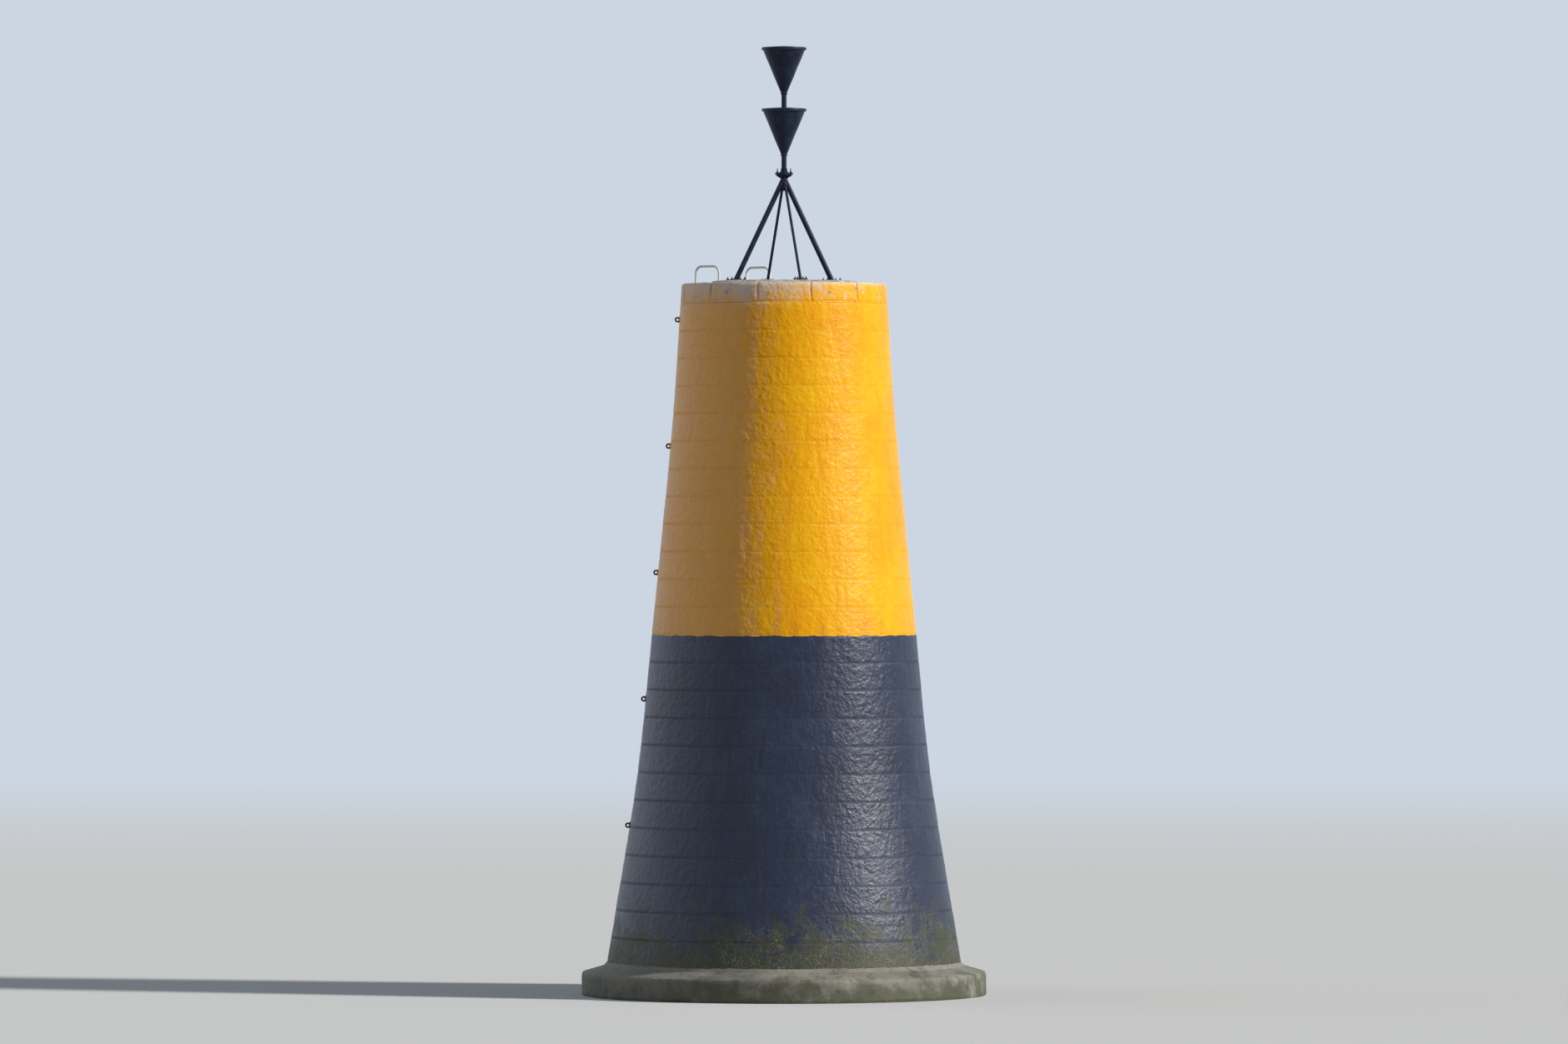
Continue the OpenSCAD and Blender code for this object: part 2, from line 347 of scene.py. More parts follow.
bm = turned([
    (0, 0), (FOOTING_R - CHAMFER, 0), (FOOTING_R, CHAMFER), (FOOTING_R, FOOTING_EDGE - WORN),
    (FOOTING_R - WORN * 0.3, FOOTING_EDGE - WORN * 0.3), (FOOTING_R - WORN, FOOTING_EDGE + HAIR),
    (SHAFT_R, FOOTING_TOP - HAIR), (0, FOOTING_TOP - HAIR),
], FOOTING_COLUMNS, step=0.045)
weather(bm, depth=0.016, size=0.14, spare=lambda p: p.z < 0.015 or p.xy.length < SHAFT_R + 0.03)
concrete = finish("weedy_concrete", concrete_paint)
piece("footing_concrete", bm, concrete, "footing_concrete", "footing")

# A fillet of mortar, struck off by hand, closes the joint at the wall's foot
bm = turned([
    (SHAFT_R - TUCK, FOOTING_TOP - FILLET), (SHAFT_R + FILLET, FOOTING_TOP - FILLET),
    (SHAFT_R + FILLET, FOOTING_TOP - FILLET * 0.5), (SHAFT_R + FILLET * 0.3, FOOTING_TOP + FILLET * 0.25),
    (SHAFT_R - TUCK, FOOTING_TOP + FILLET), (SHAFT_R - TUCK, FOOTING_TOP - FILLET),
], FOOTING_COLUMNS, step=0.012)
weather(bm, depth=0.012, size=0.1)
piece("foot_fillet", bm, concrete, "footing_concrete")

# The wall is coursed stone, bedded in mortar and painted many times over. The
# paint has filled and rounded every joint, and each stone stands a little proud.

COURSE_H = 0.4
COURSES = 24
WALL_COLUMNS = 560
LIFTS = ("shaft_foot", "shaft_black", "shaft_yellow", "shaft_neck")
# No point of the wall's face is nearer to the axis than this
FACE_R = 1.3
STONE_L = (0.44, 0.86)
STONE_STEP = 0.0018
BED_DEPTH = 0.0025
HEAD_DEPTH = 0.0014
JOINT_HALF = 0.032
# Rows of points from a bed joint on to the stone, and the steps between these
JOINT_ROWS = (0.0, 0.009, 0.018, 0.028, 0.044)
STONE_ROWS = 13
# Lumps of old paint and swells of the wall: how many to a metre, and how high
PAINT_LUMPS = (12.0, 0.0038)
WALL_SWELLS = (1.6, 0.003)

# Each paint in its dusky, its plain and its pale shade
YELLOW = rgb(254, 180, 0)
YELLOWS = (rgb(244, 158, 0), YELLOW, rgb(255, 198, 10))
# The black is the paint's own dark tone with a blue cast that is painted reflection of sky
BLACK = rgb(36, 46, 70)
BLACKS = (rgb(27, 32, 46), BLACK, rgb(58, 66, 84))
DULL_YELLOW = rgb(240, 172, 62)
# A paler, bluer tan: bleached yellow, and the painted sheen of sky on the shaded side
BLEACHED_SHADE_SHEEN_YELLOW = rgb(244, 178, 112)
BED_DIRT = rgb(170, 112, 20)
LAP_DIRT = rgb(160, 120, 40)
LIME = rgb(228, 218, 206)
SALT = rgb(112, 118, 128)
SHELL = rgb(176, 170, 150)
RUST = rgb(112, 60, 30)
POCKS = rgb(150, 92, 20)
CHIPPED_YELLOW = rgb(128, 110, 88)
CHIPPED_BLACK = rgb(96, 90, 80)
YELLOW_GLOSS = 0.24
BLACK_GLOSS = 0.4
LIMED_TURN = math.radians(215)
# The side where the bleach and the painted shade sheen are strongest, away from the key lamp
BLEACH_AND_SHADE_TURN = math.radians(180)

LADDER_TURN = math.radians(135)
RUNG_W = 0.4
LUG_PITCH = 1.84
LUG_H = 0.084

tower_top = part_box("coping")[1].z
paint_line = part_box("shaft_yellow")[0].z
lug_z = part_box("mooring_lugs")[1].z - LUG_H / 2

# Heights and radii of the wall's plain faces, away from the joints
faces = {}
for node in (*LIFTS, "coping"):
    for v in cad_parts[node].data.vertices:
        share = (v.co.z - FOOTING_TOP) / COURSE_H
        in_joint = abs(share - round(share)) <= 0.02
        if v.co.xy.length > FACE_R and v.co.z < tower_top - 0.01 and not in_joint:
            faces[round(v.co.z, 4)] = v.co.xy.length
face_z, face_r = np.array(sorted(faces.items())).T


def wall_r(z):
    """The radius of the wall's plain face at a height."""
    return float(np.interp(z, face_z, face_r))


# Each course: where its stones end, its turn, and how far each stone stands out
chance = np.random.default_rng(12)
courses = []
for i in range(COURSES):
    around = TAU * wall_r(FOOTING_TOP + (i + 0.5) * COURSE_H)
    lengths = []
    while sum(lengths) < around - STONE_L[0] / 2:
        lengths.append(chance.uniform(*STONE_L))
    ends = np.cumsum(lengths) / sum(lengths) * TAU
    courses.append((ends, chance.uniform(0, TAU), chance.uniform(-1, 1, len(ends) + 1) * STONE_STEP))


def soft_groove(distance):
    """1 in the middle of a joint, 0 on the stone."""
    t = np.clip(1 - distance / JOINT_HALF, 0, 1)
    return t * t * (3 - 2 * t)


def stone_relief(co):
    """How far the painted stones stand out from the plain wall at each point."""
    radius = np.hypot(co[:, 0], co[:, 1])
    share = (co[:, 2] - FOOTING_TOP) / COURSE_H
    row = np.clip(np.floor(share + 1e-6).astype(int), 0, COURSES - 1)
    bed = soft_groove(np.abs(share - np.round(share)) * COURSE_H)
    relief = np.zeros(len(co))
    for i, (ends, turn, stands) in enumerate(courses):
        of_row = row == i
        angle = (np.arctan2(co[of_row, 1], co[of_row, 0]) - turn) % TAU
        stone = np.minimum(np.searchsorted(ends, angle), len(ends) - 1)
        before = np.concatenate(([0.0], ends))[stone]
        head = soft_groove(np.minimum(angle - before, ends[stone] - angle) * radius[of_row])
        relief[of_row] = (stands[stone] * (1 - head) - HEAD_DEPTH * head) * (1 - bed[of_row])
    lumps, lump_h = PAINT_LUMPS
    swells, swell_h = WALL_SWELLS
    rough = np.array([
        noise.fractal(p * lumps, 0.6, 2.1, 2) * lump_h + noise.noise(p * swells) * swell_h
        for p in map(Vector, co)
    ])
    return relief - BED_DEPTH * bed + rough * (1 - 0.6 * bed) - HAIR


def lift(name, material, slot, node):
    """One lift of the shaft, its stones modelled, in place of its plain solid."""
    low, high = (corner.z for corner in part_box(node))
    first = JOINT_ROWS[-1]
    between = [first + (COURSE_H - 2 * first) * k / STONE_ROWS for k in range(1, STONE_ROWS)]
    rows = [*JOINT_ROWS, *between, *(COURSE_H - row for row in reversed(JOINT_ROWS[1:]))]
    heights = [low + i * COURSE_H + row for i in range(round((high - low) / COURSE_H)) for row in rows]
    bm = turned([(0, low), *((wall_r(z), z) for z in (*heights, high)), (0, high)], WALL_COLUMNS)
    co = np.array([v.co for v in bm.verts])
    radius = np.hypot(co[:, 0], co[:, 1])
    face = radius > FACE_R
    grow = np.ones(len(co))
    grow[face] += stone_relief(co[face]) / radius[face]
    for v, k in zip(bm.verts, grow):
        v.co.x *= k
        v.co.y *= k
    piece(name, bm, material, slot, node, crease=80)


def bed_mask(point):
    """1 in the bed joints, 0 on the stones."""
    up = point.math("PINGPONG", parts(point)[2] - FOOTING_TOP, COURSE_H / 2)
    return 1 - up.over(0.006, 0.03)


def rust_runs(point):
    """Rust that runs down the wall from the rungs' legs and from the lugs."""
    x, y, z = parts(point)
    cos, sin = math.cos(LADDER_TURN), math.sin(LADDER_TURN)
    waver = point.noise(1.3, 2, shift=3.0) * 0.05 - 0.025
    from_leg = point.math("ABSOLUTE", point.math("ABSOLUTE", x * sin - y * cos) - RUNG_W / 2 + waver)
    below_rung = point.math("FRACT", (FOOTING_TOP + COURSE_H / 2 - z) / COURSE_H)
    ladder_side = (x * cos + y * sin).over(0.0, 0.2)
    rungs = (1 - from_leg.over(0.006, 0.045)) * ladder_side * (1 - below_rung * 0.7)
    from_lug = point.math("ABSOLUTE", y + waver)
    below_lug = point.math("FRACT", (lug_z - z) / LUG_PITCH)
    lug_side = 1 - x.over(-0.4, 0.0)
    lugs = (1 - from_lug.over(0.01, 0.07)) * lug_side
    lugs = lugs * below_lug.over(0.0, 0.03) * (1 - below_lug.over(0.03, 0.5))
    patchy = point.noise(9, 5, 0.7, stretch=(1, 1, 0.12)).over(0.36, 0.66)
    return point.math("MAXIMUM", rungs * 0.6, lugs * 0.9) * patchy


def coat(point, shades):
    """Old gloss paint on stone: its colour, its blotches, runs of dirt and grain."""
    dusk, plain, pale = shades
    blotch = point.noise(6.5, 5, 0.6, shift=5.0)
    streak = point.noise(7, 4, 0.65, stretch=(1, 1, 0.07))
    grain = point.noise(85, 3, 0.6)
    shade = point.noise(1.1, 4, 0.6) * 0.6 + blotch * 0.4
    base = shade.ramp((0.28, dusk), (0.52, plain), (0.74, pale))
    return base.tint(streak.over(0.5, 0.72) * 0.5, dusk), blotch, streak, grain


def thick_paint(point, grain):
    """The normal of many coats: lumps a few centimetres wide, with finer grain."""
    lumps = point.bump(point.noise(21, 3, 0.5, shift=7.0), metres=0.009)
    return point.bump(grain, metres=0.0015, Normal=lumps)


def towards(point, turn):
    """1 on the side of the tower that looks towards a turn, -1 on the far side."""
    x, y, _ = parts(point)
    return (x * math.cos(turn) + y * math.sin(turn)) / from_axis(point)


def bleached_and_painted_shade(point, blotch, streak):
    """1 on the side turned from the key lamp, in ragged runs: yellow bleached by light and salt, and painted
    shade with a bluish sky sheen.
    """
    ragged = (blotch - 0.5) * 0.7 + (streak - 0.5) * 0.9
    return (towards(point, BLEACH_AND_SHADE_TURN) + ragged).over(0.0, 0.5) * (0.42 + streak * 0.4)


def lime_runs(point):
    """1 where lime has run down from the tower's top, further on one side."""
    down = tower_top - parts(point)[2]
    runs = point.noise(6.5, 6, 0.7, stretch=(1, 1, 0.3), shift=1.0)
    reach = 0.1 + towards(point, LIMED_TURN).over(-0.13, 0.87) * 0.27
    return (runs + (reach - down) * 1.1).over(0.4, 0.96)


def yellow_paint(point):
    """Yellow over old coats, bleached and painted with a shade sheen on one side, and limed from above."""
    base, blotch, streak, grain = coat(point, YELLOWS)
    bed = bed_mask(point)
    dirt = bed * point.noise(18, 3, shift=9.0).over(0.4, 0.65)
    low = (1 - (parts(point)[2] - paint_line).over(0.0, 0.5)) * streak.over(0.45, 0.7)
    patches = point.noise(2.6, 4, shift=6.0).over(0.36, 0.6)
    pocks = point.noise(44, 2, 0.5, shift=11.0).over(0.62, 0.7) * patches
    lime = lime_runs(point)
    chip = point.noise(13, 6, 0.75, shift=2.0).over(0.715, 0.74)
    # Bleached yellow and painted shade sheen on the side away from the key lamp
    base = base.tint(bleached_and_painted_shade(point, blotch, streak), BLEACHED_SHADE_SHEEN_YELLOW)
    base = base.tint(dirt * 0.1, BED_DIRT).tint(low * 0.25, LAP_DIRT)
    base = base.tint(pocks * 0.3, POCKS).tint(lime * 0.7, LIME)
    base = base.tint(chip * 0.7, CHIPPED_YELLOW).tint(rust_runs(point) * 0.8, RUST)
    return {
        "Base Color": base,
        "Roughness": 0.3 + blotch * 0.12 + lime * 0.35 + bed * 0.2,
        "Specular IOR Level": YELLOW_GLOSS,
        "Normal": thick_paint(point, grain - chip * 2),
    }


def black_paint(point):
    """Black over old coats, salted and chipped, with weed and shells at the foot."""
    base, blotch, streak, grain = coat(point, BLACKS)
    z = parts(point)[2]
    up = z - FOOTING_TOP
    bed = bed_mask(point)
    salt = point.noise(4, 6, 0.7, stretch=(1, 1, 0.14), shift=4.0).over(0.55, 0.8)
    chip = point.noise(12, 6, 0.75, shift=2.0).over(0.71, 0.735)
    lap = (z - paint_line + point.noise(5, 3, shift=6.0) * 0.05).over(0.012, 0.018)
    weed = (point.noise(3.2, 6, 0.7) + (1.1 - up) * 0.3).over(0.55, 0.82)
    size = point.noise(16, 2, shift=13.0) * 0.5 - 0.02
    shells = 1 - (point.node("TexVoronoi", Vector=point, Scale=58.0) - size).over(0.0, 0.12)
    crust = shells * (point.noise(3.1, 5, 0.65, shift=7.0) + (0.8 - up) * 0.2).over(0.5, 0.7)
    base = base.tint(salt * 0.28, SALT).tint(chip * 0.6, CHIPPED_BLACK)
    base = base.tint(rust_runs(point) * 0.75, RUST).tint(lap, YELLOW)
    # The yellow lip takes the same bleach and painted shade sheen
    base = base.tint(lap * bleached_and_painted_shade(point, blotch, streak), BLEACHED_SHADE_SHEEN_YELLOW)
    base = base.tint(weed * 0.85, GROUND_WEED).tint(crust * 0.75, SHELL)
    return {
        "Base Color": base,
        "Roughness": 0.3 + blotch * 0.16 + bed * 0.2 + salt * 0.2 + weed * 0.2 + crust * 0.3,
        "Specular IOR Level": BLACK_GLOSS,
        "Normal": thick_paint(point, grain - chip * 2 + crust * 3),
    }


black_wall = finish("black_masonry", black_paint)
yellow_wall = finish("yellow_masonry", yellow_paint)
lift("flared_foot", black_wall, "black_wall", "shaft_foot")
lift("black_wall", black_wall, "black_wall", "shaft_black")
lift("yellow_wall", yellow_wall, "yellow_wall", "shaft_yellow")
lift("steep_neck", yellow_wall, "yellow_wall", "shaft_neck")

# The rungs are round iron bent to a U, one to a course, with both legs let into
# the stone and run in with lead. They are painted with the wall and rust through.

RUNG_R = 0.014
RUNG_PROUD = 0.15
RUNG_BEND = 0.05
RUNG_SAG = 0.02
LET_IN = 0.012
# The lowest course has no rung, and the paint changes after this many courses
BLACK_COURSES = 12
QUARTER = math.pi / 2
IRON_GLOSS = 0.24
DULL_YELLOWS = (rgb(222, 150, 44), DULL_YELLOW, rgb(248, 188, 84))
BARE_IRON = ((0.3, rgb(58, 34, 24)), (0.55, rgb(104, 56, 30)), (0.75, rgb(146, 84, 44)))
RUST_STAIN = rgb(120, 66, 34)
LEAD = ((0.3, rgb(92, 92, 94)), (0.7, rgb(142, 142, 142)))


def bent_bar(radius, runs, sides=16, ring=0.02):
    """A round bar that starts at the origin along +Z. A run is a straight length,
    or a pair of an angle and the radius of a bend towards +X."""
    bm = bmesh.new()
    bmesh.ops.create_circle(bm, segments=sides, radius=radius)
    front = bm.edges[:]
    spot, heading = Vector(), 0.0
    for run in runs:
        ahead = Vector((math.sin(heading), 0, math.cos(heading)))
        if isinstance(run, tuple):
            angle, bend = run
            centre = spot + bend * Vector((ahead.z, 0, -ahead.x))
            steps, push = max(4, math.ceil(angle * bend / ring)), Vector()
            spot = centre + Matrix.Rotation(angle, 3, "Y") @ (spot - centre)
        else:
            angle, centre = 0, spot
            steps = math.ceil(run / ring)
            push = ahead * run / steps
            spot = spot + ahead * run
        made = bmesh.ops.spin(
            bm, geom=front, cent=centre, axis=(0, 1, 0), angle=angle, dvec=push, steps=steps,
        )
        front = [e for e in made["geom_last"] if isinstance(e, bmesh.types.BMEdge)]
        heading += angle
    bmesh.ops.holes_fill(bm, edges=bm.edges)
    face_out(bm)
    return bm


def gather(*groups):
    """One bmesh of several shapes. Each is given alone, or in a pair with the places
    where copies of it stand."""
    whole = bmesh.new()
    for group in groups:
        bm, places = group if isinstance(group, tuple) else (group, [Matrix()])
        mesh = bpy.data.meshes.new("shape")
        bm.to_mesh(mesh)
        bm.free()
        for place in places:
            first = len(whole.verts)
            whole.from_mesh(mesh)
            whole.verts.ensure_lookup_table()
            bmesh.ops.transform(whole, matrix=place, verts=whole.verts[first:])
        bpy.data.meshes.remove(mesh)
    return whole


def stand(origin, ahead, across):
    """A place with its +Z along ahead and its +X along across."""
    z, x = Vector(ahead).normalized(), Vector(across).normalized()
    y = z.cross(x)
    return Matrix.Translation(origin) @ Matrix((x, y, z)).transposed().to_4x4()


outwards = Vector((math.cos(LADDER_TURN), math.sin(LADDER_TURN), 0))
sideways = Vector((-math.sin(LADDER_TURN), math.cos(LADDER_TURN), 0))


def rung_places(first, last):
    """Where the foot of each rung's first leg stands, and where both legs enter."""
    feet, holes = [], []
    for i in range(first, last):
        z = FOOTING_TOP + (i + 0.5) * COURSE_H
        face = wall_r(z) * outwards + z * Vector((0, 0, 1))
        sag = Matrix.Rotation(chance.uniform(-RUNG_SAG, RUNG_SAG), 4, "X")
        feet.append(stand(face - LET_IN * outwards - sideways * RUNG_W / 2, outwards, sideways) @ sag)
        holes += [stand(face + side * sideways * RUNG_W / 2, outwards, sideways) for side in (-1, 1)]
    return feet, holes


def iron_paint(shades, rust_from):
    """Paint on iron that rust lifts in flakes, fewer for a higher rust_from."""
    stops = list(zip((0.3, 0.5, 0.7), shades))

    def paint(point):
        shade = point.noise(9, 4)
        rust = point.noise(16, 6, 0.7, shift=3.0) * 0.7 + point.noise(60, 4, 0.7) * 0.3
        bare = rust.over(rust_from, rust_from + 0.04)
        stain = rust.over(rust_from - 0.09, rust_from + 0.02)
        base = shade.ramp(*stops).tint(stain * 0.45, RUST_STAIN)
        return {
            "Base Color": base.tint(bare, point.noise(70, 4, 0.7).ramp(*BARE_IRON)),
            "Roughness": 0.36 + shade * 0.12 + bare * 0.4,
            "Specular IOR Level": IRON_GLOSS,
            "Normal": point.bump(point.noise(140, 3) * 0.4 - bare * 0.6, metres=0.0012),
        }
    return paint


def lead_paint(point):
    """Dull lead that keeps patches of the wall's paint."""
    dull = point.noise(30, 4)
    above = parts(point)[2].over(paint_line - 0.01, paint_line)
    painted = point.noise(14, 5, 0.65, shift=2.0).over(0.4, 0.46)
    return {
        "Base Color": dull.ramp(*LEAD).tint(painted, above.between(BLACK, DULL_YELLOW)),
        "Roughness": 0.6 - painted * 0.2,
        "Normal": point.bump(dull + painted * 0.5, metres=0.002),
    }


lead = finish("caulked_lead", lead_paint)
leg = LET_IN + RUNG_PROUD - RUNG_BEND
rung_runs = [leg, (QUARTER, RUNG_BEND), RUNG_W - 2 * RUNG_BEND, (QUARTER, RUNG_BEND), leg]
rung_sets = {
    "black": (1, BLACK_COURSES, iron_paint(BLACKS, 0.55)),
    "yellow": (BLACK_COURSES, COURSES, iron_paint(DULL_YELLOWS, 0.58)),
}
lead_places = []
for colour, (first, last, paint) in rung_sets.items():
    node = "rungs_" + colour
    feet, holes = rung_places(first, last)
    lead_places += holes
    bm = gather((bent_bar(RUNG_R, rung_runs), feet))
    weather(bm, depth=0.0016, size=0.03)
    piece(node + "_iron", bm, finish(node + "_paint", paint), "rung_" + colour, node)

# The lugs are forged eyes let into the stone at the tower's side, for a boat's
# line. Their paint is long gone, and rust has eaten their edges round.

LUG_T = 0.018
LUG_PROUD = 0.07
LUG_HOLE_R = 0.015
LUG_COUNT = 5
LUG_SIDES = 36
LUG_EDGE = 0.004
RUSTED = (rgb(40, 36, 34), rgb(52, 44, 40), rgb(70, 58, 50))
LEAD_R = 0.031
# A lug's lead is taller and narrower than the round one at a rung's leg
LUG_LEAD = Matrix.Diagonal((1.7, 0.75, 1, 1))


def ease(bm, edges, width, segments):
    """Rounds or bevels some of the edges."""
    bmesh.ops.bevel(
        bm, geom=edges, offset=width, affect="EDGES", segments=segments, profile=0.5, material=-1,
    )


def sharp_edges(bm, degrees):
    """The edges whose faces meet at more than an angle."""
    return [e for e in bm.edges if e.calc_face_angle(0) > math.radians(degrees)]


def thicken(bm, way):
    """Makes a plate of a flat shape, by extruding all its faces one way."""
    made = bmesh.ops.extrude_face_region(bm, geom=bm.faces[:])["geom"]
    moved = [v for v in made if isinstance(v, bmesh.types.BMVert)]
    bmesh.ops.translate(bm, verts=moved, vec=way)
    face_out(bm)


def lug():
    """One lug with its eye at the origin, its tail along +X and its hole along Z."""
    bm = bmesh.new()
    rim = bmesh.ops.create_circle(bm, segments=LUG_SIDES, radius=LUG_H / 2)["verts"]
    tail = LUG_PROUD - LUG_H / 2 + 2 * LET_IN
    # The rim's half towards +X is drawn out to a square tail
    for v in rim:
        along, side = v.co.x / (LUG_H / 2), v.co.y / (LUG_H / 2)
        if along > 0:
            v.co.x = tail * min(1, 2 * along)
            v.co.y = LUG_H / 2 * max(-1, min(1, side / math.cos(math.radians(30))))
    bmesh.ops.create_circle(bm, segments=LUG_SIDES, radius=LUG_HOLE_R)
    bmesh.ops.bridge_loops(bm, edges=bm.edges)
    bmesh.ops.subdivide_edges(bm, edges=bm.edges, cuts=2, use_grid_fill=True)
    bmesh.ops.translate(bm, verts=bm.verts, vec=(0, 0, -LUG_T / 2))
    thicken(bm, (0, 0, LUG_T))
    ease(bm, sharp_edges(bm, 50), LUG_EDGE, segments=3)
    return bm


lug_places = []
for i in range(LUG_COUNT):
    z = lug_z - i * LUG_PITCH
    out = wall_r(z)
    lug_places.append(stand((-out - LUG_PROUD + LUG_H / 2, 0, z), (0, -1, 0), (1, 0, 0)))
    lead_places.append(stand((-out, 0, z), (-1, 0, 0), (0, 0, 1)) @ LUG_LEAD)
bm = gather((lug(), lug_places))
weather(bm, depth=0.003, size=0.025)
rusted = finish("rusted_iron", iron_paint(RUSTED, 0.42))
piece("mooring_eyes", bm, rusted, "lug_iron", "mooring_lugs")

# A collar of lead is caulked round each leg and each lug's tail
collar = turned([
    (0, -LET_IN), (LEAD_R, -LET_IN), (LEAD_R, 0.001), (LEAD_R - 0.005, 0.005), (RUNG_R, 0.008), (0, 0.008),
], 24)
bm = gather((collar, lead_places))
weather(bm, depth=0.002, size=0.02)
piece("lead_collars", bm, lead, "lug_iron")

# The coping is a ring of dressed stones, bedded on the top course and pointed
# with mortar. Its paint wears through first at the arris, and lime whitens it.

COPING_STONES = 12
COPING_JOINT = 0.006
COPING_CUTS = (19, 11, 9)
POINTING = 0.003
ARRIS = 0.016
BARE_STONE = ((0.35, rgb(112, 104, 92)), (0.65, rgb(160, 152, 136)))
DRIPS = rgb(132, 80, 26)
LIME_STAIN = rgb(150, 146, 128)

coping_low, coping_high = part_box("coping")
deck_low, deck_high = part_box("deck")
DECK_R = deck_high.x
COPING_BORE = DECK_R + COPING_JOINT
COPING_W = wall_r(tower_top) - COPING_BORE


def worn_block(half, cuts, wear):
    """A block of those half sizes about the origin, its arrises worn round, cut
    into a net that is finer towards its edges."""
    bm = bmesh.new()
    bmesh.ops.create_cube(bm, size=2)
    for axis, count in enumerate(cuts):
        along = [e for e in bm.edges if abs(e.verts[0].co[axis] - e.verts[1].co[axis]) > 1.5]
        bmesh.ops.subdivide_edges(bm, edges=along, cuts=count, use_grid_fill=True)
    for v in bm.verts:
        p = Vector([math.sin(c * QUARTER) * h for c, h in zip(v.co, half)])
        core = Vector([max(wear - h, min(h - wear, c)) for c, h in zip(p, half)])
        reach = p - core
        if reach.length > wear:
            p = core + reach.normalized() * wear
        v.co = p
    face_out(bm)
    return bm


def coping_stone(turn):
    """One stone of the ring: a worn block bent round the axis, its face battered."""
    middle = COPING_BORE + COPING_W / 2
    length = TAU / COPING_STONES * middle - COPING_JOINT
    height = coping_high.z - coping_low.z
    bm = worn_block((length / 2, COPING_W / 2, height / 2), COPING_CUTS, ARRIS)
    for v in bm.verts:
        z = coping_low.z + height / 2 + v.co.z
        radius = COPING_BORE + (v.co.y / COPING_W + 0.5) * (wall_r(z) - COPING_BORE)
        angle = turn - v.co.x / middle
        v.co = (radius * math.cos(angle), radius * math.sin(angle), z)
    face_out(bm)
    return bm


def up_mask(point, low, high):
    """1 on what faces up, 0 on what stands or hangs."""
    return parts(point.node("NewGeometry", out="Normal"))[2].over(low, high)


def coping_paint(point):
    """The wall's yellow, worn to the stone in places and whitened from above."""
    base, blotch, streak, grain = coat(point, YELLOWS)
    worn = (point.noise(9, 5, 0.7, shift=8.0) + up_mask(point, 0.3, 0.8) * 0.16).over(0.58, 0.66)
    drips = point.noise(4.5, 5, 0.7, stretch=(1, 1, 0.25), shift=12.0).over(0.62, 0.7)
    splash = (point.noise(7, 6, 0.65) + up_mask(point, 0.4, 0.9) * 0.42).over(0.55, 0.7)
    down = tower_top - parts(point)[2]
    arris = (1 - down.over(0.01, 0.05)) * blotch.over(0.35, 0.5) * 0.8
    white = point.math("MAXIMUM", arris, point.math("MAXIMUM", lime_runs(point), splash))
    # The coping takes the same bleach and painted shade sheen as the wall
    base = base.tint(bleached_and_painted_shade(point, blotch, streak), BLEACHED_SHADE_SHEEN_YELLOW)
    base = base.tint(worn, (grain * 0.5 + blotch * 0.5).ramp(*BARE_STONE))
    base = base.tint(drips * 0.6, DRIPS).tint(white * 0.8, LIME)
    return {
        "Base Color": base.tint(white * streak.over(0.5, 0.75) * 0.5, LIME_STAIN),
        "Roughness": 0.36 + blotch * 0.12 + white * 0.3,
        "Specular IOR Level": YELLOW_GLOSS,
        "Normal": thick_paint(point, grain - worn),
    }


bm = gather(*(coping_stone(i * TAU / COPING_STONES) for i in range(COPING_STONES)))
weather(bm, depth=0.009, size=0.11)
coping_coat = finish("whitened_coping", coping_paint)
piece("coping_stones", bm, coping_coat, "coping_stone", "coping", crease=60)

# The pointing is one ring of mortar, painted with the stones and a little lower
bed_z, top_z = coping_low.z + POINTING, tower_top - POINTING
bore = DECK_R - 0.05
bm = turned([
    (bore, bed_z), (wall_r(bed_z) - POINTING, bed_z), (wall_r(top_z) - POINTING, top_z - ARRIS),
    (wall_r(top_z) - POINTING - ARRIS, top_z), (bore, top_z), (bore, bed_z),
], 240, step=0.05)
hidden = DECK_R + 0.02
weather(bm, depth=0.009, size=0.11, spare=lambda p: p.xy.length < hidden or p.z < bed_z + 0.001)
piece("coping_mortar", bm, coping_coat, "coping_stone")

# The deck is a slab of concrete cast inside the coping, with a sloping edge that
# sheds water. It is whitened in splashes, and lichen grows in the clear patches.

DECK_SLOPE = 0.09
PALE_CONCRETE = ((0.3, rgb(126, 123, 112)), (0.7, rgb(176, 172, 160)))
WHITE_SPOTS = rgb(240, 236, 224)
LICHEN = rgb(190, 150, 50)


def deck_paint(point):
    """Pale concrete with white splashes and spots, and lichen."""
    grit = point.noise(70, 3, 0.7)
    cloud = point.noise(2.2, 5)
    splash = point.noise(6.5, 6, 0.68, shift=4.0).over(0.44, 0.62)
    spots = 1 - point.node("TexVoronoi", Vector=point, Scale=16.0).over(0.1, 0.2)
    lichen = point.noise(3.6, 6, 0.72, shift=9.0).over(0.6, 0.67)
    base = (cloud * 0.6 + grit * 0.4).ramp(*PALE_CONCRETE)
    base = base.tint(splash * 0.8, LIME).tint(spots * splash * 0.7, WHITE_SPOTS)
    return {
        "Base Color": base.tint(lichen * 0.75, LICHEN),
        "Roughness": 0.8 - splash * 0.1,
        "Normal": point.bump(grit * 0.6 + splash * 0.4, metres=0.006),
    }


edge_r = DECK_R - DECK_SLOPE
bm = turned([
    (0, deck_low.z), (DECK_R, deck_low.z), (DECK_R, tower_top - 0.012), (DECK_R - 0.008, tower_top),
    (edge_r + 0.01, deck_high.z - 0.006), (edge_r - 0.02, deck_high.z), (0, deck_high.z),
], 240, step=0.04)
weather(bm, depth=0.005, size=0.16, spare=lambda p: p.z < tower_top - 0.02)
piece("deck_slab", bm, finish("whitened_deck", deck_paint), "deck_concrete", "deck")

# Four steel plates carry the topmark's frame, each on a bed of grout and held
# down by four anchor bolts. They wear the same black paint as the rest of it.

